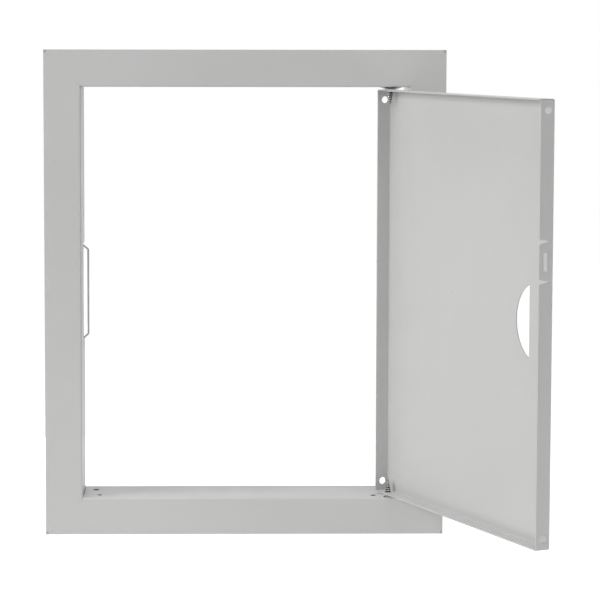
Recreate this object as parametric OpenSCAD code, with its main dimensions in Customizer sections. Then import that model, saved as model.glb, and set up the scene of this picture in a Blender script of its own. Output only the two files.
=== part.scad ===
// Wall access panel of folded sheet steel.
// Four mitred angle strips make a frame whose flange lies on the wall and whose
// returns line the opening. A pan-folded door turns on two pointed screws that
// are driven through the top and bottom returns near the right-hand side.
// Origin: centre of the opening, on the wall face behind the flange.
// +X to the hinge side, +Y into the wall, +Z up. Millimetres.

/* [Frame] */
// Width over the flanges
frame_w = 230; // [180:1:420]
// Height over the flanges
frame_h = 280; // [200:1:520]
// Flange width, outer edge to the inner face of the return
flange_w = 21.25; // [17:0.25:30]
// Depth of the returns, measured from the flange's front face
collar_depth = 38; // [38:0.5:80]
// Sheet thickness of the frame and of the door
sheet = 0.7; // [0.5:0.05:1]
// Outside radius of the frame's folds
frame_fold_r = 1.0; // [0.9:0.1:2]
// Open slit at each outer corner, where the mitre isn't filled
corner_slit = 0.14; // [0.1:0.02:1]
// Length of that slit along the flange's width
corner_slit_len = 2.25; // [1.5:0.25:6]
// Open seam between a side return and the top or bottom return it butts on
return_seam = 0.35; // [0.1:0.05:0.8]

/* [Fixing holes] */
// Radius of the fixing holes in the top and bottom returns
fixing_r = 1.95; // [1.5:0.05:3]
// Distance of a fixing hole from the side return
fixing_inset = 6.8; // [5:0.1:15]
// Depth of the fixing holes behind the wall face
fixing_y = 25.3; // [20:0.1:30]

/* [Hinge] */
// Distance of the pivot axis from the side return
pivot_inset = 10.3; // [10:0.1:12]
// Depth of the pivot axis behind the wall face
pivot_y = 5.2; // [5:0.1:6]
// Height of the seat pressed out of the return round each pivot
seat_h = 1.6; // [1.1:0.1:1.6]
// Half width of the seat where it leaves the return
seat_r = 6.4; // [5.6:0.1:7]
// Half width of the seat's flat floor, on the opening side
seat_floor_r = 2.2; // [2:0.1:2.8]
// Depth of the seat's torn front edge behind the wall face
seat_front_y = 0.4; // [0.4:0.1:1.5]
// Small extra hole in the bottom return, distance from the hinge-side return
extra_hole_inset = 18.8; // [16:0.1:30]
// Radius of that hole
extra_hole_r = 1.55; // [1:0.05:2]
// Depth of that hole behind the wall face
extra_hole_y = 6.9; // [4:0.1:20]
// Plain hole at the latch end of the top and bottom returns, distance from the side return
latch_hole_inset = 9.6; // [7:0.1:14]
// Radius of that hole
latch_hole_r = 1.4; // [1:0.05:2]
// Depth of that hole behind the wall face
latch_hole_y = 9.3; // [4:0.1:20]

/* [Hinge screws] */
// Outside radius of the thread
thread_r = 1.75; // [1.5:0.05:1.9]
// Radius of the thread's root
root_r = 1.4; // [1.1:0.05:1.45]
// Thread pitch
thread_pitch = 1.27; // [1:0.01:1.6]
// Length under the head
screw_len = 9.8; // [9:0.1:13]
// Length of the point
point_len = 3.2; // [2:0.1:4]
// Head radius
head_r = 3.5; // [3:0.1:3.9]
// Head height
head_h = 2.4; // [2:0.1:3]

/* [Door] */
// Gap between the door and the hinge-side return
hinge_gap = 1.5; // [1.4:0.1:1.8]
// Gap between the door and the latch-side return
latch_gap = 1.5; // [1:0.1:3]
// Clearance between the door and each of the two seats it turns between
rest_gap = 0.05; // [0.03:0.01:0.2]
// The closed door's face lies this far behind the wall face
door_recess = 0.5; // [0.3:0.1:0.6]
// Depth of the lips from the door's outer face to their free edge
lip_depth = 8.45; // [8:0.05:9]
// Outside radius of the door's folds
door_fold_r = 1.0; // [0.9:0.1:1.5]
// The side lips stop this much short of the door's top and bottom
lip_end_gap = 0.4; // [0.2:0.1:1]
// Angle the door stands open
open_angle = 113; // [0:1:122]
// Radial play between the screw thread and the hole in the lip
pivot_play = 0.08; // [0.04:0.01:0.1]

/* [Door openings] */
// Distance of the finger cut-out's straight edge from the free end
cutout_inset = 22.7; // [18:0.1:40]
// Length of the straight edge
cutout_chord = 39.2; // [30:0.2:50]
// Depth of the cut-out's arc
cutout_rise = 14; // [8:0.1:15]
// Radius of the round holes in the side lips
lip_hole_r = 2; // [1:0.1:2.2]
// Distance of those holes from the door's top and bottom
lip_hole_inset = 5.9; // [5:0.1:12]
// Their depth behind the outer face
lip_hole_w = 4; // [3.6:0.1:5]
// Heights of the two V notches above the door's middle
notch_z = [23, 43.9];
// Width of a V notch at the free edge
notch_mouth = 2.8; // [2:0.1:4]
// Depth of the V notches' tips behind the outer face
notch_tip_w = 1.7; // [1.5:0.1:4]
// Height of the slot's middle above the door's middle
slot_z = 33.4; // [30:0.1:36]
// Slot length
slot_len = 9.4; // [6:0.1:14]
// Slot width
slot_w = 2.5; // [1.5:0.1:3]
// Depth of the slot's middle behind the outer face
slot_mid_w = 4.7; // [4:0.1:5]

/* [Spring wire] */
// Wire radius
wire_r = 0.55; // [0.4:0.05:0.8]
// Height of the wire's middle
wire_z = -1.3; // [-20:0.1:20]
// Length of the straight part, corner to corner
wire_straight = 49.6; // [30:0.2:80]
// Centre line of the straight part, inwards from the return
wire_proud = 2.7; // [1.5:0.1:4]
// Angle of the sloping legs from the straight part
leg_angle = 50; // [35:1:60]
// Centre line radius of the bends
bend_r = 1.2; // [0.9:0.1:2]
// Depth of the notch in the return's rear edge
notch_depth = 12.8; // [8:0.1:13]
// Half length of the notch
notch_half = 28.6; // [20:0.1:45]
// Space between the wire and the notch's front edge
wire_rest = 0.06; // [0.05:0.01:0.3]
// Space between the wire and the outer face of the return
wire_off = 0.3; // [0.3:0.05:0.6]
// Middle of each bridge, along the wire from its middle
bridge_at = 32.6; // [31:0.1:50]
// Width of a bridge
bridge_w = 3; // [2:0.1:4]
// Radial play of the wire in the bridges
bridge_play = 0.09; // [0.05:0.01:0.1]
// Length of the wire's bent tails
tail_len = 3.5; // [2.5:0.1:6]
// Distance of the tails from the wire's middle
tail_at = 36.2; // [35.8:0.1:56]

/* [Hidden] */
$fn = 96;
eps = 0.02;
half_w = frame_w / 2 - flange_w;
half_h = frame_h / 2 - flange_w;
back_y = collar_depth - sheet;
frame_inner_r = frame_fold_r - sheet;
door_inner_r = door_fold_r - sheet;
door_w = 2 * half_w - hinge_gap - latch_gap;
door_h = 2 * (half_h - seat_h - rest_gap);
pivot_x = half_w - pivot_inset;
pivot_u = pivot_inset - hinge_gap;
pivot_w = pivot_y - door_recess;
wire_x = -half_w + wire_proud;
run_x = -half_w - sheet - wire_off - wire_r;
wire_y = back_y - notch_depth + wire_rest + wire_r;
leg_in = wire_x - run_x;
leg_out = leg_in / tan(leg_angle);
leg_trim = bend_r * tan(leg_angle / 2);
seat_slope = (seat_r - seat_floor_r) / seat_h;
hollow_floor_r = seat_floor_r - sheet * (sqrt(1 + pow(seat_slope, 2)) - seat_slope);
head_lift = (head_r - hollow_floor_r) / seat_slope + eps / 2;
head_seat_z = half_h - seat_h + sheet + head_lift;
coat = [0.80, 0.80, 0.79];
steel = [0.45, 0.45, 0.46];

// Quarter ring of sheet with its centre at the origin, in the -X -Y quarter.
module fold(outer_r) {
    intersection() {
        difference() {
            circle(r = outer_r);
            circle(r = outer_r - sheet);
        }
        translate([-outer_r, -outer_r])
            square(outer_r);
    }
}

// Section of a frame strip: X outwards from the opening, Y into the wall.
module strip_section() {
    translate([frame_fold_r, frame_inner_r])
        fold(frame_fold_r);
    translate([frame_fold_r, -sheet])
        square([flange_w - frame_fold_r, sheet]);
    translate([0, frame_inner_r])
        square([sheet, back_y - frame_inner_r]);
}

// Room left to one strip by its two mitres, seen from the wall. half is half
// the opening along the strip. The slit opens at the outer corners.
module mitre_wedge(half) {
    slit_x = flange_w - corner_slit_len;
    tip = half + flange_w;
    play = eps / 2;
    polygon([[-1, half - 1 - play], [slit_x, half + slit_x - play],
             [slit_x, half + slit_x - corner_slit / 2], [flange_w + 1, tip + 1 - corner_slit / 2],
             [flange_w + 1, -tip - 1 + corner_slit / 2], [slit_x, -half - slit_x + corner_slit / 2],
             [slit_x, -half - slit_x + play], [-1, -half + 1 + play]]);
}

// One strip lying along Z, with the opening on its -X side at X = 0.
module strip(half) {
    intersection() {
        linear_extrude(height = 2 * (half + flange_w), center = true)
            strip_section();
        translate([0, collar_depth, 0])
            rotate([90, 0, 0])
                linear_extrude(height = collar_depth + 1)
                    mitre_wedge(half);
    }
}

// Side strip: its return stops short of the top and bottom returns.
module side_strip() {
    difference() {
        strip(half_h);
        for (side = [-1, 1])
            translate([-1, frame_inner_r, side * (half_h - return_seam + 5) - 5])
                cube([2 + sheet, collar_depth, 10]);
    }
}

// Tapered bulge round the origin, carried on to local Y = run at full section.
module bulge(base_r, floor_r, height, run) {
    intersection() {
        union() {
            cylinder(h = height, r1 = base_r, r2 = floor_r);
            rotate([90, 0, 180])
                linear_extrude(height = run)
                    polygon([[-base_r, 0], [base_r, 0], [floor_r, height], [-floor_r, height]]);
        }
        translate([-base_r - 1, -base_r - 1, -1])
            cube([2 * base_r + 2, base_r + 1 + run, height + 2]);
    }
}

// Hinge seat: sheet torn along the frame's fold and pressed towards the opening.
// Local +Z points into the opening, +Y to the room, Z = 0 is the inner face.
module seat_metal() {
    bulge(seat_r, seat_floor_r, seat_h, pivot_y - seat_front_y);
}

// The hollow behind the seat, with the screw hole through its floor.
module seat_hollow() {
    base_r = hollow_floor_r + seat_h * seat_slope;
    run = pivot_y - frame_inner_r;
    translate([0, 0, -sheet])
        bulge(base_r, hollow_floor_r, seat_h, run);
    translate([0, 0, -sheet - 1])
        bulge(base_r, base_r, 1, run);
    cylinder(h = seat_h + 1, r = root_r + eps);
}

// Puts its child on the top return at (x, y), facing down into the opening.
module on_top_return(x, y) {
    translate([x, y, half_h])
        rotate([180, 0, 0])
            children();
}

module crosswise_strip() {
    difference() {
        union() {
            translate([0, 0, half_h])
                rotate([0, -90, 0])
                    strip(half_w);
            // the return's square ends run on over the side returns
            for (side = [-1, 1])
                translate([side * (half_w - 1), frame_inner_r + eps, half_h])
                    mirror([side < 0 ? 1 : 0, 0, 0])
                        cube([1 + sheet, back_y - frame_inner_r - eps, sheet]);
            on_top_return(pivot_x, pivot_y)
                seat_metal();
        }
        on_top_return(pivot_x, pivot_y)
            seat_hollow();
        translate([-half_w + latch_hole_inset, latch_hole_y, half_h - 1])
            cylinder(h = sheet + 2, r = latch_hole_r);
        for (side = [-1, 1])
            translate([side * (half_w - fixing_inset), fixing_y, half_h - 1])
                cylinder(h = sheet + 2, r = fixing_r);
    }
}

module frame_top() {
    color(coat)
        crosswise_strip();
}

module frame_bottom() {
    color(coat)
        difference() {
            mirror([0, 0, 1])
                crosswise_strip();
            translate([half_w - extra_hole_inset, extra_hole_y, -half_h - sheet - 1])
                cylinder(h = sheet + 2, r = extra_hole_r);
        }
}

module frame_right() {
    color(coat)
        translate([half_w, 0, 0])
            side_strip();
}

// Staple of sheet lanced out of the return over the wire, along Z.
module bridge() {
    inner = wire_r + bridge_play;
    outer = inner + sheet;
    foot = -half_w - sheet - run_x;
    translate([run_x, wire_y, -bridge_w / 2])
        difference() {
            union() {
                cylinder(h = bridge_w, r = outer);
                translate([0, -outer, 0])
                    cube([foot + sheet, 2 * outer, bridge_w]);
            }
            translate([0, 0, -1])
                cylinder(h = bridge_w + 2, r = inner);
            translate([0, -inner, -1])
                cube([foot + sheet + 1, 2 * inner, bridge_w + 2]);
        }
}

module frame_left() {
    inner = wire_r + bridge_play;
    color(coat)
        difference() {
            union() {
                mirror([1, 0, 0])
                    translate([half_w, 0, 0])
                        side_strip();
                for (side = [-1, 1])
                    translate([0, 0, wire_z + side * bridge_at])
                        bridge();
            }
            // notch in the rear edge, between the wire's legs
            translate([-half_w - sheet - 1, back_y - notch_depth, wire_z - notch_half])
                cube([sheet + 2, notch_depth + 1, 2 * notch_half]);
            // slits the bridges were lanced from
            for (side = [-1, 1])
                translate([-half_w - sheet - wire_r, wire_y - inner,
                           wire_z + side * bridge_at - bridge_w / 2 - eps])
                    cube([sheet + wire_r + 1, 2 * inner, bridge_w + 2 * eps]);
        }
}

// Follows a list of [straight length, turn] along +Z. A positive turn bends the
// wire towards -X, a negative one towards +X.
module wire_run(path, i = 0) {
    len_i = path[i][0];
    turn = path[i][1];
    flip = turn < 0 ? 1 : 0;
    cylinder(h = len_i, r = wire_r);
    if (i < len(path) - 1)
        translate([0, 0, len_i])
            mirror([flip, 0, 0]) {
                translate([-bend_r, 0, 0])
                    rotate([90, 0, 0])
                        rotate_extrude(angle = abs(turn))
                            translate([bend_r, 0])
                                circle(r = wire_r, $fn = 48);
                translate([-bend_r, 0, 0])
                    rotate([0, -abs(turn), 0])
                        translate([bend_r, 0, 0])
                            mirror([flip, 0, 0])
                                wire_run(path, i + 1);
            }
}

module spring_wire() {
    leg = leg_in / sin(leg_angle) - 2 * leg_trim;
    run = tail_at - wire_straight / 2 - leg_out - leg_trim - bend_r;
    tail = tail_len - bend_r;
    color(steel)
        translate([run_x - tail_len, wire_y, wire_z - tail_at])
            rotate([0, 90, 0])
                wire_run([[tail, 90], [run, -leg_angle], [leg, leg_angle],
                          [wire_straight - 2 * leg_trim, leg_angle], [leg, -leg_angle],
                          [run, 90], [tail, 0]]);
}

// Section of the folded door: the face of length span along X, a lip at each
// end standing up along Y, both folds rounded.
module pan_section(span) {
    translate([door_fold_r, 0])
        square([span - 2 * door_fold_r, sheet]);
    for (flip = [0, 1])
        translate([flip * span, 0])
            mirror([flip, 0]) {
                translate([door_fold_r, door_fold_r])
                    fold(door_fold_r);
                translate([0, door_fold_r])
                    square([sheet, lip_depth - door_fold_r]);
            }
}

// D-shaped finger cut-out: u along the door from the hinge end, v up.
module cutout_outline() {
    arc_r = (pow(cutout_chord / 2, 2) + pow(cutout_rise, 2)) / (2 * cutout_rise);
    edge_u = door_w - cutout_inset;
    intersection() {
        translate([edge_u - cutout_rise + arc_r, 0])
            circle(r = arc_r);
        translate([edge_u - cutout_rise - 1, -cutout_chord])
            square([cutout_rise + 1, 2 * cutout_chord]);
    }
}

// The round holes near both ends of a side lip. The first coordinate is the
// height from the lip's middle, the second the depth behind the outer face.
module lip_holes() {
    for (side = [-1, 1])
        translate([side * (door_h / 2 - lip_hole_inset), lip_hole_w])
            circle(r = lip_hole_r);
}

// The free lip's two V notches and the slot in the tab between them.
module tab_cuts() {
    for (z = notch_z)
        polygon([[z, notch_tip_w], [z - notch_mouth / 2, lip_depth], [z - notch_mouth / 2, lip_depth + 1],
                 [z + notch_mouth / 2, lip_depth + 1], [z + notch_mouth / 2, lip_depth]]);
    translate([slot_z - slot_len / 2, slot_mid_w - slot_w / 2])
        square([slot_len, slot_w]);
}

// Turns a (height, depth) outline into a cutter for a side lip whose outer
// face is at X = 0.
module through_lip() {
    translate([-1, 0, 0])
        rotate([90, 0, 90])
            linear_extrude(height = sheet + 2)
                rotate([0, 0, 90])
                    mirror([0, 1])
                        children();
}

// The folded pan in its own axes: X along the door from the hinge end, Y from
// the outer face inwards, Z up from its middle.
module pan() {
    difference() {
        union() {
            linear_extrude(height = door_h - 2 * lip_end_gap, center = true)
                pan_section(door_w);
            translate([door_fold_r, 0, door_h / 2])
                rotate([0, 90, 0])
                    linear_extrude(height = door_w - 2 * door_fold_r)
                        pan_section(door_h);
        }
        translate([0, sheet + 1, 0])
            rotate([90, 0, 0])
                linear_extrude(height = sheet + 2)
                    cutout_outline();
        through_lip()
            lip_holes();
        translate([door_w - sheet, 0, 0])
            through_lip() {
                lip_holes();
                tab_cuts();
            }
        translate([pivot_u, pivot_w, -door_h])
            cylinder(h = 2 * door_h, r = thread_r + pivot_play);
    }
}

module door_panel() {
    color(coat)
        translate([pivot_x, pivot_y, 0])
            rotate([0, 0, open_angle])
                mirror([1, 0, 0])
                    translate([-pivot_u, -pivot_w, 0])
                        pan();
}

// Half section of the threaded shank and the head, X outwards, point down.
module screw_section() {
    neck = head_lift + sheet + 0.1;
    flank = (thread_r - root_r) * 0.8;
    crest = thread_pitch * 0.12;
    full_turns = floor((screw_len - point_len - neck) / thread_pitch);
    thread_top = -neck - 2 * flank - crest;
    tip_z = -screw_len;
    taper_z = tip_z + point_len;
    turns = [for (k = [0:full_turns - 1]) thread_top + 2 * flank + crest - k * thread_pitch];
    cone_turns = [for (k = [0:1]) let (z = taper_z - (k + 0.35) * thread_pitch) [z, (z - tip_z) / point_len]];
    polygon(concat(
        [[0, 0], [root_r, 0]],
        [for (z = turns) each [[root_r, z], [thread_r, z - flank], [thread_r, z - flank - crest],
                               [root_r, z - 2 * flank - crest]]],
        [[root_r, taper_z]],
        [for (c = cone_turns) each [[root_r * c[1], c[0]],
                                    [thread_r * c[1], c[0] - flank * 0.8],
                                    [root_r * (c[1] - 1.9 * flank / point_len), c[0] - 1.9 * flank]]],
        [[0, tip_z]]));
}

// Pan head with a cross recess, seat at Z = 0, head upwards.
module screw() {
    dome_r = 4.6;
    rim_h = 0.9;
    recess_len = 3.8;
    recess_w = 0.95;
    recess_depth = 1.5;
    difference() {
        union() {
            rotate_extrude()
                screw_section();
            cylinder(h = rim_h, r = head_r);
            intersection() {
                translate([0, 0, head_h - dome_r])
                    sphere(r = dome_r);
                cylinder(h = head_h + 1, r = head_r);
            }
        }
        for (turn = [0, 90])
            rotate([0, 0, turn])
                translate([-recess_len / 2, -recess_w / 2, head_h - recess_depth])
                    cube([recess_len, recess_w, recess_depth + 1]);
    }
}

module hinge_screw_upper() {
    color(steel)
        translate([pivot_x, pivot_y, head_seat_z])
            screw();
}

module hinge_screw_lower() {
    color(steel)
        translate([pivot_x, pivot_y, -head_seat_z])
            rotate([180, 0, 0])
                screw();
}

frame_top();
frame_bottom();
frame_left();
frame_right();
door_panel();
spring_wire();
hinge_screw_upper();
hinge_screw_lower();
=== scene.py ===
import math

import bmesh
import bpy
from mathutils import Matrix, Vector


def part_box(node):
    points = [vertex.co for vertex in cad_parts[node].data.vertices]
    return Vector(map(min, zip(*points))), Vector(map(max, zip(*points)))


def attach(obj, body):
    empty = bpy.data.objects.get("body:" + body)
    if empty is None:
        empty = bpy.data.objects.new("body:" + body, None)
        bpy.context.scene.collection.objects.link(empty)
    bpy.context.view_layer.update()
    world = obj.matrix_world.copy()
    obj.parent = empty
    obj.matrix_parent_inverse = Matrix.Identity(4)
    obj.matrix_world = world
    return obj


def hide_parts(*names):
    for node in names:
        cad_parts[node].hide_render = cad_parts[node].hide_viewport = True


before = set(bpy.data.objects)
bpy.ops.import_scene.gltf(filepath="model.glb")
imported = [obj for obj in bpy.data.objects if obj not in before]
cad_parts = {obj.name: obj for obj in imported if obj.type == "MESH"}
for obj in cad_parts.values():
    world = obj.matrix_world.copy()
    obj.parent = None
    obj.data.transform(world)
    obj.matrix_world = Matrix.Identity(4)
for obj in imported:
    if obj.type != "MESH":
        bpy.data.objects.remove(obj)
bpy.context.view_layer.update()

# Mitred frame
# Four angle strips folded from 0.7 mm steel sheet, tacked together at the
# mitres, the joints filled and the whole frame powder coated light grey. The
# flange lies on the wall and the returns line the opening.
STRIPS = ("frame_top", "frame_bottom", "frame_left", "frame_right")
frame_low = Vector(min(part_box(n)[0][i] for n in STRIPS) for i in range(3))
frame_high = Vector(max(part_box(n)[1][i] for n in STRIPS) for i in range(3))
FLANGE_W = 0.02125
outer_x = frame_high[0]
outer_z = frame_high[2]
opening_x = outer_x - FLANGE_W
opening_z = outer_z - FLANGE_W
FRAME_GREY = (0.545, 0.545, 0.541)


def add_node(tree, kind, **values):
    """A node of that kind, with plain values set on its inputs by name."""
    node = tree.nodes.new(kind)
    for name, value in values.items():
        if name in node.inputs:
            node.inputs[name].default_value = value
        else:
            setattr(node, name, value)
    return node


def join(tree, source, target):
    tree.links.new(source, target)


def noise(tree, place, scale, detail):
    """Soft noise over the piece's own place in metres; scale is in cells per metre."""
    cells = add_node(tree, "ShaderNodeTexNoise", Scale=scale, Detail=detail, Roughness=0.55)
    join(tree, place, cells.inputs["Vector"])
    return cells.outputs["Fac"]


def remap(tree, source, low, high, out_low, out_high):
    """Stretches the range from low to high onto the range from out_low to out_high."""
    node = add_node(tree, "ShaderNodeMapRange")
    node.inputs["From Min"].default_value = low
    node.inputs["From Max"].default_value = high
    node.inputs["To Min"].default_value = out_low
    node.inputs["To Max"].default_value = out_high
    join(tree, source, node.inputs["Value"])
    return node.outputs["Result"]


def maths(tree, operation, first, *others):
    """One value put through an operation, or a row of them taken from left to right."""
    result = first
    for other in others or (None,):
        node = add_node(tree, "ShaderNodeMath", operation=operation)
        for socket, value in zip(node.inputs, (result, other)):
            if isinstance(value, (int, float)):
                socket.default_value = value
            elif value is not None:
                join(tree, value, socket)
        result = node.outputs[0]
    return result


def distance(tree, place, middle):
    """How far each point lies from middle, in metres."""
    node = add_node(tree, "ShaderNodeVectorMath", operation="DISTANCE")
    join(tree, place, node.inputs[0])
    node.inputs[1].default_value = middle
    return node.outputs["Value"]


def off_axis(tree, place, right, depth):
    """How far each point lies from the upright line at that place."""
    flat = add_node(tree, "ShaderNodeVectorMath", operation="MULTIPLY")
    join(tree, place, flat.inputs[0])
    flat.inputs[1].default_value = (1, 1, 0)
    return distance(tree, flat.outputs[0], (right, depth, 0))


def blend_colours(tree, amount, first, second):
    """first where amount is 0 and second where it is 1; each is a colour or a socket."""
    node = add_node(tree, "ShaderNodeMix", data_type="RGBA")
    join(tree, amount, node.inputs[0])
    for socket, value in zip((node.inputs[6], node.inputs[7]), (first, second)):
        if isinstance(value, tuple):
            socket.default_value = value + (1,)
        else:
            join(tree, value, socket)
    return node.outputs[2]


def raised(tree, height, tall, under=None):
    """Bump of that height map, so many metres tall, on top of another normal."""
    node = add_node(tree, "ShaderNodeBump", Strength=1.0, Distance=tall)
    join(tree, height, node.inputs["Height"])
    if under is not None:
        join(tree, under, node.inputs["Normal"])
    return node.outputs["Normal"]


def new_finish(name):
    """A new material, its node tree, its main shader and the place on the piece."""
    material = bpy.data.materials.new(name)
    material.use_nodes = True
    tree = material.node_tree
    place = add_node(tree, "ShaderNodeTexCoord").outputs["Object"]
    return material, tree, tree.nodes["Principled BSDF"], place


def give_finish(piece, finish):
    """Leaves the piece with that material alone."""
    piece.data.materials.clear()
    piece.data.materials.append(finish)


# Patterns of the powder coat, in cells per metre, and their heights in metres
CLOUDS = 11
GRAIN = 1500
SPECKS = 46
SHEET_WAVES = 14
ORANGE_PEEL = 700
FILLER_PATCHES = 90
SHINE_PATCHES = 60
WAVE_HEIGHT = 0.0006
PEEL_HEIGHT = 0.000035
FILLER_HEIGHT = 0.00002
EDGE_R = 0.00025
SPECK_GREY = (0.16, 0.16, 0.16)
# The grey of the dark spots, also used as painted shade where the mitres meet the opening
MARK_AND_SHADE_GREY = (0.22, 0.22, 0.22)
# Near black painted as shade on hole walls, hinge seats' backs and return seams
HOLLOW_SHADE_GREY = (0.05, 0.05, 0.05)


def toned(colour, share):
    """The colour made darker or lighter by a share."""
    return tuple(share * value for value in colour)


def level_over_filler(tree, soft, seam):
    """The rounded normals, but the sheet's true ones along the filled seam."""
    level = add_node(tree, "ShaderNodeMix", data_type="VECTOR")
    join(tree, maths(tree, "GREATER_THAN", seam, 0), level.inputs[0])
    join(tree, soft, level.inputs[4])
    join(tree, add_node(tree, "ShaderNodeNewGeometry").outputs["Normal"], level.inputs[5])
    return level.outputs[1]


def powder_coat(name, grey, filled=None, marks_and_shade=None, hollow_shade=None):
    """Satin powder coat; the three optional masks give the filler, the dark spots with painted shade
    at the mitres, and the painted shade in hollows and gaps.
    """
    material, tree, shader, place = new_finish(name)
    cloudy = remap(tree, noise(tree, place, CLOUDS, 3), 0.3, 0.7, 0, 1)
    colour = blend_colours(tree, cloudy, toned(grey, 0.975), toned(grey, 1.02))
    grain = remap(tree, noise(tree, place, GRAIN, 2), 0.35, 0.65, 0, 0.05)
    colour = blend_colours(tree, grain, colour, toned(grey, 0.6))

    speck = add_node(tree, "ShaderNodeTexVoronoi", Scale=SPECKS)
    join(tree, place, speck.inputs["Vector"])
    dot = remap(tree, speck.outputs["Distance"], 0.010, 0.016, 0.8, 0)
    colour = blend_colours(tree, dot, colour, SPECK_GREY)

    normal = add_node(tree, "ShaderNodeBevel", samples=6, Radius=EDGE_R).outputs["Normal"]
    if filled:
        seam = filled(tree, place)
        normal = level_over_filler(tree, normal, seam)
    normal = raised(tree, noise(tree, place, SHEET_WAVES, 1), WAVE_HEIGHT, normal)
    normal = raised(tree, noise(tree, place, ORANGE_PEEL, 2), PEEL_HEIGHT, normal)
    if filled:
        patchy = remap(tree, noise(tree, place, FILLER_PATCHES, 1), 0.45, 0.65, 0.1, 1)
        normal = raised(tree, maths(tree, "MULTIPLY", seam, patchy), FILLER_HEIGHT, normal)
    # Dark spots, and painted shade where the mitres meet the opening
    if marks_and_shade:
        colour = blend_colours(tree, marks_and_shade(tree, place), colour, MARK_AND_SHADE_GREY)
    # Painted shade in the hollows and gaps
    if hollow_shade:
        colour = blend_colours(tree, hollow_shade(tree, place), colour, HOLLOW_SHADE_GREY)

    join(tree, colour, shader.inputs["Base Color"])
    shine = remap(tree, noise(tree, place, SHINE_PATCHES, 2), 0.3, 0.7, 0.40, 0.50)
    join(tree, shine, shader.inputs["Roughness"])
    join(tree, normal, shader.inputs["Normal"])
    shader.inputs["Specular IOR Level"].default_value = 0.42
    shader.inputs["Coat Weight"].default_value = 0.12
    shader.inputs["Coat Roughness"].default_value = 0.3
    return material


def mirrored(tree, place):
    """How far a point lies to the side of the frame's middle, behind the wall face, and up or down."""
    axes = add_node(tree, "ShaderNodeSeparateXYZ")
    join(tree, place, axes.inputs[0])
    across = maths(tree, "ABSOLUTE", axes.outputs["X"])
    up = maths(tree, "ABSOLUTE", axes.outputs["Z"])
    return across, axes.outputs["Y"], up


FILLER_CORE = 0.0002
FILLER_EDGE = 0.0009


def mitre_filler(tree, place):
    """1 along the filled mitres, which leave the corners at 45 degrees, and 0 beside them."""
    across, _, up = mirrored(tree, place)
    off = maths(tree, "SUBTRACT", up, across, outer_z - outer_x)
    return remap(tree, maths(tree, "ABSOLUTE", off), FILLER_CORE, FILLER_EDGE, 1, 0)


# Each spot's inset from the outer corner, its radius and how dark it is: a dark spot
# at the outer tip, and painted shade at the opening's corner
CORNER_SPOTS = ((0.0009, 0.0012, 0.9), (0.0212, 0.0008, 0.45))
SPOT_CORE = 0.0002
# Where the seam darkens at its two ends, with painted shade at the opening's end:
# distances from the opening and from the outer edge between which it fades, and how
# dark it is at the very end
INNER_END_SHADE = (0.00045, 0.00575, 0.16)
OUTER_END = (0.005, 0.0005, 0.12)
MARKS_DEPTH = 0.0006


def corner_spots_and_shade(tree, place):
    """Dark spots where the filler ends short of the outer corners, and painted shade, for the shadow
    of a small step, where it ends short of the opening.
    """
    across, depth, up = mirrored(tree, place)
    dark = []
    for inset, radius, strength in CORNER_SPOTS:
        right = maths(tree, "SUBTRACT", across, outer_x - inset)
        high = maths(tree, "SUBTRACT", up, outer_z - inset)
        squares = [maths(tree, "MULTIPLY", side, side) for side in (right, high)]
        away = maths(tree, "SQRT", maths(tree, "ADD", *squares))
        dark.append(remap(tree, away, SPOT_CORE, radius, strength, 0))
    start, stop, strength = INNER_END_SHADE
    inner_end = remap(tree, across, opening_x + start, opening_x + stop, strength, 0)
    start, stop, strength = OUTER_END
    outer_end = remap(tree, across, outer_x - start, outer_x - stop, 0, strength)
    sunk = remap(tree, mitre_filler(tree, place), 0.3, 1, 0, 1)
    dark.append(maths(tree, "MULTIPLY", sunk, maths(tree, "MAXIMUM", inner_end, outer_end)))
    on_flange = maths(tree, "LESS_THAN", depth, MARKS_DEPTH)
    return maths(tree, "MULTIPLY", maths(tree, "MAXIMUM", *dark), on_flange)


# Holes in the top and bottom returns: place across and behind the wall face, and
# radius. The last is in the bottom return only, but its painted shade is on both.
FIXING_X = opening_x - 0.0068
LATCH_X = opening_x - 0.0096
EXTRA_X = opening_x - 0.0188
HOLES = ((FIXING_X, 0.0253, 0.00195), (-FIXING_X, 0.0253, 0.00195),
         (-LATCH_X, 0.0093, 0.0014), (EXTRA_X, 0.0069, 0.00155))
HOLE_SLACK = 0.00004
PIVOT = (opening_x - 0.0103, 0.0052)
SEAT_R = 0.0069
# Height off the middle line times the normal's upward part, on faces that look outwards
OUTWARDS = 0.01
# The seam's two sides and its end nearest the middle, against the opening's edges,
# and the depth behind the wall face over which it starts
SEAM_INNER = (-0.00065, -0.00025)
SEAM_OUTER = 0.00085
SEAM_FOOT = -0.00045
SEAM_START = (0.006, 0.010)


def return_seams(tree, place):
    """1 in the fine seams where the side returns butt on the top and bottom ones."""
    across, depth, up = mirrored(tree, place)
    inner_side = [opening_x + inset for inset in SEAM_INNER]
    return maths(tree, "MULTIPLY",
                 remap(tree, across, *inner_side, 0, 1),
                 maths(tree, "LESS_THAN", across, opening_x + SEAM_OUTER),
                 maths(tree, "GREATER_THAN", up, opening_z + SEAM_FOOT),
                 remap(tree, depth, *SEAM_START, 0, 1))


def seat_backs(tree, place):
    """1 on the hinge seats' faces that look away from the opening."""
    facing = add_node(tree, "ShaderNodeVectorMath", operation="MULTIPLY")
    join(tree, place, facing.inputs[0])
    join(tree, add_node(tree, "ShaderNodeNewGeometry").outputs["Normal"], facing.inputs[1])
    outwards = add_node(tree, "ShaderNodeSeparateXYZ")
    join(tree, facing.outputs[0], outwards.inputs[0])
    return maths(tree, "MULTIPLY",
                 maths(tree, "LESS_THAN", off_axis(tree, place, *PIVOT), SEAT_R),
                 maths(tree, "GREATER_THAN", outwards.outputs["Z"], OUTWARDS))


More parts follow.
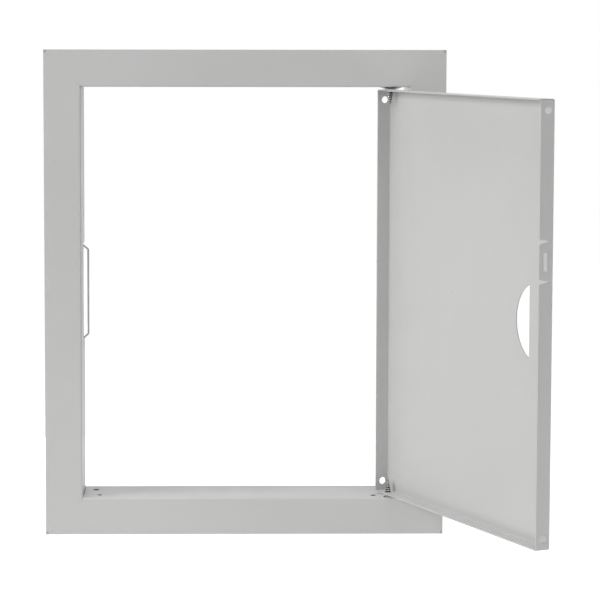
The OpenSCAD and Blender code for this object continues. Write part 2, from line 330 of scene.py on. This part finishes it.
def painted_hollow_shade(tree, place):
    """Painted shade: 1 on the hole walls, the hinge seats' backs and the return seams, which are
    painted near black for the shade in them.
    """
    walls = [maths(tree, "LESS_THAN", off_axis(tree, place, right, depth), radius + HOLE_SLACK)
             for right, depth, radius in HOLES]
    return maths(tree, "MAXIMUM", *walls, seat_backs(tree, place), return_seams(tree, place))


frame_coat = powder_coat("frame_powder_coat", FRAME_GREY, mitre_filler, corner_spots_and_shade, painted_hollow_shade)
for strip in STRIPS:
    give_finish(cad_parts[strip], frame_coat)

# Door
# One sheet folded into a shallow pan with four lips, coated like the frame.
# It turns on the two hinge screws through its upper and lower lips.
DOOR_GREY = (0.555, 0.553, 0.549)
# Middle, radius and darkness of a spot inside the door and one on the hinge lip's edge
WORN = (((0.1135, -0.0554, 0.0073), 0.0007, 0.4), ((0.0767, 0.0119, 0.0176), 0.0011, 0.7))


def worn_spots(tree, place):
    """The door's two small dark spots."""
    return maths(tree, "MAXIMUM", *(
        remap(tree, distance(tree, place, middle), 0.3 * radius, radius, strength, 0)
        for middle, radius, strength in WORN))


door_coat = powder_coat("door_powder_coat", DOOR_GREY, marks_and_shade=worn_spots)
give_finish(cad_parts["door_panel"], door_coat)

# Spring wire
# 1.1 mm spring steel wire, zinc plated, bent cold. It stands through the notch
# of the left return and turns in the two bridges behind it.
WIRE_DARK = (0.46, 0.46, 0.46)
WIRE_LIGHT = (0.53, 0.53, 0.525)
WIRE_PATCHES = 160
DRAW_MARKS = 4000
DRAWN_OUT = 0.03
DRAW_MARK_HEIGHT = 0.00001
wire_finish, tree, shader, place = new_finish("zinc_plated_wire")
drawn = add_node(tree, "ShaderNodeMapping")
drawn.inputs["Scale"].default_value = (1, 1, DRAWN_OUT)
join(tree, place, drawn.inputs["Vector"])
streaks = noise(tree, drawn.outputs["Vector"], DRAW_MARKS, 2)
patches = remap(tree, noise(tree, place, WIRE_PATCHES, 2), 0.35, 0.65, 0, 1)
join(tree, blend_colours(tree, patches, WIRE_DARK, WIRE_LIGHT), shader.inputs["Base Color"])
join(tree, remap(tree, streaks, 0.3, 0.7, 0.42, 0.56), shader.inputs["Roughness"])
join(tree, raised(tree, streaks, DRAW_MARK_HEIGHT), shader.inputs["Normal"])
shader.inputs["Metallic"].default_value = 0.35
give_finish(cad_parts["spring_wire"], wire_finish)

# Hinge screws
# Two 3.5 mm pointed tapping screws of zinc plated steel, driven through the
# returns from outside. The door's lips turn on their threads.
THREAD_R = 0.00175
ROOT_R = 0.00126
PITCH = 0.00127
RIDGE_HALF = 0.30    # half width of the ridge, in turns of the thread
RIDGE_STEEP = 1.25   # above 1 the ridge has a flat crest
POINT = 0.0062
POINT_BEND = 0.85    # below 1 the point is fuller than a cone
TIP_FLAT = 0.00005
NECK = 0.00135
NECK_R = 0.0014
HEAD_R = 0.0035
HEAD_H = 0.0024
HEAD_FACE_R = 0.97 * HEAD_R
HEAD_EDGE = 0.0001
RIM_H = 0.0008
DOME_STEPS = 9
ROUND = 36
STEPS = 12
CROSS_SPAN = 0.0038
CROSS_W = 0.00095
CROSS_DEPTH = 0.0015
CROSS_FOOT = 0.62    # size of the cutting bit at its foot, as a share of its top
# Colours of the threads: painted shade in the grooves, a painted highlight on the crests
GROOVE_SHADE_DARK = (0.018, 0.02, 0.022)
GROOVE_SHADE_LIGHT = (0.09, 0.093, 0.096)
CREST_HIGHLIGHT_GREY = (0.46, 0.465, 0.47)
CREST_SHARE = (0.80, 0.97)   # shares of the thread's radius between which it turns light
CREST_TIP = 0.0001
CREST_THIN = 0.02    # share of the radius that is left at the tip
STEEL_PATCHES = 1800
STEEL_SHINE = 2600
STEEL_PITS = 5000
PIT_HEIGHT = 0.00001


def screw_radius(depth, length, turn):
    """Radius of the threaded shank at a depth under the head, round a full helix."""
    if depth < NECK:
        return NECK_R
    taper = min(1, max(0, (length - depth) / POINT)) ** POINT_BEND
    phase = (depth / PITCH + turn) % 1
    ridge = max(0, 1 - abs(phase - 0.5) / RIDGE_HALF)
    start = min(1, 2 * (depth - NECK) / PITCH)
    return taper * (ROOT_R + (THREAD_R - ROOT_R) * min(1, ridge * RIDGE_STEEP) * start)


def ring(mesh, radii, height):
    """One ring of points round the screw's axis, each at its own radius."""
    angles = [math.tau * i / len(radii) for i in range(len(radii))]
    return [mesh.verts.new((radius * math.cos(angle), radius * math.sin(angle), height))
            for radius, angle in zip(radii, angles)]


def skin_rings(mesh, rings):
    """Skins a list of closed rings, with a cap at both ends."""
    for lower, upper in zip(rings, rings[1:]):
        for i in range(len(lower)):
            k = (i + 1) % len(lower)
            mesh.faces.new((lower[i], lower[k], upper[k], upper[i]))
    mesh.faces.new(rings[0][::-1])
    mesh.faces.new(rings[-1])


def new_piece(mesh, name):
    """Makes an object of a mesh under construction."""
    data = bpy.data.meshes.new(name)
    mesh.to_mesh(data)
    mesh.free()
    piece = bpy.data.objects.new(name, data)
    bpy.context.collection.objects.link(piece)
    return piece


def hinge_screw(name, length):
    """Pointed screw with its seat at Z = 0, head upwards and point down."""
    mesh = bmesh.new()
    rings = []
    depth = length - TIP_FLAT
    while depth > 0:
        radii = [screw_radius(depth, length, i / ROUND) for i in range(ROUND)]
        rings.append(ring(mesh, radii, -depth))
        depth -= PITCH / STEPS
    head = [(HEAD_FACE_R, 0), (HEAD_R, HEAD_EDGE), (HEAD_R, RIM_H)]
    for k in range(1, DOME_STEPS):
        angle = math.radians(90 * k / DOME_STEPS)
        head.append((HEAD_R * math.cos(angle), RIM_H + (HEAD_H - RIM_H) * math.sin(angle)))
    for radius, height in head:
        rings.append(ring(mesh, [radius] * ROUND, height))
    skin_rings(mesh, rings)
    for face in mesh.faces:
        face.smooth = True
    return new_piece(mesh, name)


def cut_cross(piece):
    """Sinks the cross recess into the head and keeps the result as the piece's mesh."""
    mesh = bmesh.new()
    size = Matrix.Diagonal((CROSS_SPAN, CROSS_W, 2 * CROSS_DEPTH, 1))
    for turn in (0, 90):
        place = Matrix.Rotation(math.radians(turn), 4, "Z") @ Matrix.Translation((0, 0, HEAD_H))
        bar = bmesh.ops.create_cube(mesh, size=1, matrix=place @ size)
        for vert in bar["verts"]:
            if vert.co.z < HEAD_H:
                vert.co.x *= CROSS_FOOT
                vert.co.y *= CROSS_FOOT
    bit = new_piece(mesh, piece.name + "_bit")
    cut = piece.modifiers.new("cross", "BOOLEAN")
    cut.object = bit
    cut.operation = "DIFFERENCE"
    cut.solver = "EXACT"
    cut.use_self = True
    seen = piece.evaluated_get(bpy.context.evaluated_depsgraph_get())
    piece.data = bpy.data.meshes.new_from_object(seen)
    piece.modifiers.clear()
    bpy.data.objects.remove(bit)


def painted_crest_highlights(tree, place, middle, tip):
    """1 on the crests, which get a painted highlight, and 0 in the grooves, which get painted shade;
    tip is the upper screw's.
    """
    axes = add_node(tree, "ShaderNodeSeparateXYZ")
    join(tree, place, axes.inputs[0])
    to_tip = maths(tree, "SUBTRACT", maths(tree, "ABSOLUTE", axes.outputs["Z"]), tip)
    taper = maths(tree, "POWER", remap(tree, to_tip, CREST_TIP, POINT, CREST_THIN, 1), POINT_BEND)
    share = maths(tree, "DIVIDE", off_axis(tree, place, *middle),
                  maths(tree, "MULTIPLY", taper, THREAD_R))
    return remap(tree, share, *CREST_SHARE, 0, 1)


low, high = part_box("hinge_screw_upper")
screw_middle = ((low[0] + high[0]) / 2, (low[1] + high[1]) / 2)
screw_finish, tree, shader, place = new_finish("dull_zinc_steel")
# Painted shade in the grooves and a painted highlight on the thread crests
patches = remap(tree, noise(tree, place, STEEL_PATCHES, 3), 0.42, 0.62, 0, 1)
grooves = blend_colours(tree, patches, GROOVE_SHADE_DARK, GROOVE_SHADE_LIGHT)
crests = painted_crest_highlights(tree, place, screw_middle, low[2])
join(tree, blend_colours(tree, crests, grooves, CREST_HIGHLIGHT_GREY), shader.inputs["Base Color"])
shine = remap(tree, noise(tree, place, STEEL_SHINE, 2), 0.3, 0.7, 0.20, 0.38)
join(tree, shine, shader.inputs["Roughness"])
join(tree, raised(tree, noise(tree, place, STEEL_PITS, 2), PIT_HEIGHT), shader.inputs["Normal"])
shader.inputs["Metallic"].default_value = 0.9

for node, head_up in (("hinge_screw_upper", True), ("hinge_screw_lower", False)):
    low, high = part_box(node)
    screw = hinge_screw("threaded_" + node, high[2] - low[2] - HEAD_H)
    cut_cross(screw)
    seat = high[2] - HEAD_H if head_up else low[2] + HEAD_H
    placed = Matrix.Translation(((low[0] + high[0]) / 2, (low[1] + high[1]) / 2, seat))
    if not head_up:
        placed = placed @ Matrix.Rotation(math.pi, 4, "X")
    screw.data.transform(placed)
    give_finish(screw, screw_finish)
    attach(screw, "frame")
    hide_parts(node)

# Studio
# The frame is held upright, as on its wall, over a plain pale floor that
# stays below the picture's edge. The camera sees white all round, with the
# panel's shadow kept on the floor.
FLOOR_DROP = 0.26
FLOOR_SIZE = 12
FLOOR_ROUGHNESS = 0.6
FLOOR_GREY = (0.86, 0.86, 0.86, 1)
SHADOW_GREY = (0.55, 0.55, 0.55, 1)
WHITE = (1, 1, 1, 1)
FLOOR_GLOW = 0.86
ROOM_GREY = (0.86, 0.86, 0.86, 1)
ROOM_LIGHT = 0.25
PANEL_MIDDLE = Vector((0.03, -0.05, 0))
# Each square lamp's name, place, side in metres and power in watts
LAMPS = (
    ("key_left", (-1.75, -0.75, 0.75), 1.0, 22.0),
    ("fill_right", (1.2, -1.0, 1.2), 0.8, 3.1),
    ("overhead", (0, -0.35, 2.0), 0.6, 15.8),
    ("front", (-0.3, -2.0, 0.4), 1.0, 3.9),
    ("behind_right", (1.4, 1.0, 0.6), 0.8, 4.6),
    ("behind_low", (-0.35, 1.9, -0.26), 0.24, 14),
    ("low_left", (-0.22, -0.28, -0.33), 0.15, 0.22),
    ("low_right", (0.75, -0.30, -0.32), 0.3, 1.3),
)


def plain_white(tree, shaded, white):
    """Shows white to the camera and to mirrors, and the shaded surface to all other rays."""
    ray = add_node(tree, "ShaderNodeLightPath")
    seen = maths(tree, "MAXIMUM", ray.outputs["Is Camera Ray"],
                 ray.outputs["Is Glossy Ray"], ray.outputs["Is Transmission Ray"])
    mix = add_node(tree, "ShaderNodeMixShader")
    join(tree, seen, mix.inputs[0])
    join(tree, shaded, mix.inputs[1])
    join(tree, white, mix.inputs[2])
    return mix.outputs[0]


bpy.ops.mesh.primitive_plane_add(size=FLOOR_SIZE, location=(0, 0, frame_low[2] - FLOOR_DROP))
floor = bpy.context.object
floor.name = "floor"
floor_paint = bpy.data.materials.new("pale_floor")
floor_paint.use_nodes = True
tree = floor_paint.node_tree
tree.nodes.remove(tree.nodes["Principled BSDF"])
painted = add_node(tree, "ShaderNodeBsdfDiffuse", Color=FLOOR_GREY, Roughness=FLOOR_ROUGHNESS)
dimmed = add_node(tree, "ShaderNodeBsdfDiffuse", Color=SHADOW_GREY, Roughness=FLOOR_ROUGHNESS)
glow = add_node(tree, "ShaderNodeEmission", Color=WHITE, Strength=FLOOR_GLOW)
lifted = add_node(tree, "ShaderNodeAddShader")
join(tree, dimmed.outputs[0], lifted.inputs[0])
join(tree, glow.outputs[0], lifted.inputs[1])
surface = plain_white(tree, painted.outputs[0], lifted.outputs[0])
join(tree, surface, tree.nodes["Material Output"].inputs["Surface"])
floor.data.materials.append(floor_paint)

world = bpy.data.worlds.new("studio")
world.use_nodes = True
bpy.context.scene.world = world
tree = world.node_tree
room = tree.nodes["Background"]
room.inputs["Color"].default_value = ROOM_GREY
room.inputs["Strength"].default_value = ROOM_LIGHT
white = add_node(tree, "ShaderNodeBackground", Color=WHITE, Strength=1.0)
surroundings = plain_white(tree, room.outputs[0], white.outputs[0])
join(tree, surroundings, tree.nodes["World Output"].inputs["Surface"])

for name, place, side, power in LAMPS:
    lamp = bpy.data.lights.new(name, "AREA")
    lamp.size = side
    lamp.energy = power
    stand = bpy.data.objects.new(name, lamp)
    stand.location = place
    stand.visible_camera = False
    aim = PANEL_MIDDLE - Vector(place)
    stand.rotation_euler = aim.to_track_quat("-Z", "Y").to_euler()
    bpy.context.collection.objects.link(stand)

# Camera
# Slightly above the middle of the panel and a little to its left, from about
# a metre and a half. The lens is shifted a little, because the photograph's
# upright edges run nearly parallel although it looks down on the panel.
PICTURE = 600
AXIS_PX = (255, 250)
FOCAL_PX = 2530.6
SENSOR = 36
CAMERA_PLACE = (-0.02211, -1.44692, 0.15773)
# Degrees
LOOK_DOWN = 5.227
ROLL = -0.099
TURN = -1.096
camera_data = bpy.data.cameras.new("camera")
camera_data.sensor_width = SENSOR
camera_data.lens = FOCAL_PX / PICTURE * SENSOR
camera_data.shift_x = (PICTURE / 2 - AXIS_PX[0]) / PICTURE
camera_data.shift_y = (AXIS_PX[1] - PICTURE / 2) / PICTURE
camera = bpy.data.objects.new("camera", camera_data)
camera.location = CAMERA_PLACE
camera.rotation_euler = [math.radians(angle) for angle in (90 - LOOK_DOWN, ROLL, TURN)]
bpy.context.collection.objects.link(camera)
bpy.context.scene.camera = camera
bpy.context.scene.view_settings.view_transform = "Standard"
